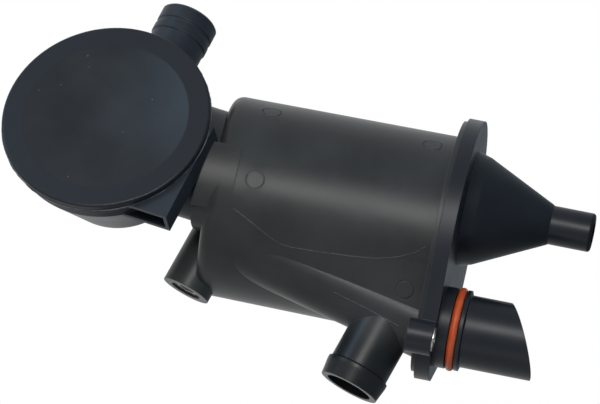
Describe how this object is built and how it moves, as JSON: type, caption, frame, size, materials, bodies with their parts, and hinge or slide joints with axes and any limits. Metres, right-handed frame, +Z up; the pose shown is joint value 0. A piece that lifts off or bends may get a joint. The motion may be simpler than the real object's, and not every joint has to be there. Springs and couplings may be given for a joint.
{
  "type": "oil separator",
  "caption": "Crankcase oil separator: tapered can on a bolted cover plate with drain funnel and O-ring spigot, a side hose stub, and a dished diaphragm valve with an outlet stub.",
  "frame": {"origin": "on the can's axis, in the cover plate's face that bolts to the engine", "axes": "+Z up the can's axis away from the engine; +X from the axis to the drain funnel, -X to the side of the spigot and hose stub; -Y the side of the near bolt"},
  "size_m": [0.1418, 0.123, 0.2386],
  "materials": {
    "black_nylon": "satin moulded glass-filled nylon",
    "orange_rubber": "smooth fluoro rubber",
    "black_rubber": "matt thin rubber",
    "plate_nylon": "natural nylon",
    "bush_steel": "zinc plated steel",
    "spring_steel": "drawn spring wire"
  },
  "bodies": {
    "separator_body": {"separator_can": "black_nylon", "funnel_cover": "black_nylon", "spigot_o_ring": "orange_rubber", "near_bolt_bush": "bush_steel", "far_bolt_bush": "bush_steel", "boss_insert": "bush_steel", "valve_housing": "black_nylon", "valve_cap": "black_nylon", "diaphragm": "black_rubber", "valve_spring": "spring_steel"},
    "valve_plate": {"diaphragm_plate": "plate_nylon", "plate_retainer": "bush_steel"}
  },
  "joints": [
    {"name": "valve_plate_slide", "type": "slide", "parent": "separator_body", "child": "valve_plate", "axis": [-0.4882, 0.8558, -0.1711], "range_m": [0, 0.0035], "stiffness_N_per_m": 400, "springref_m": -0.004, "deforming": ["valve_spring", "diaphragm"]}
  ]
}
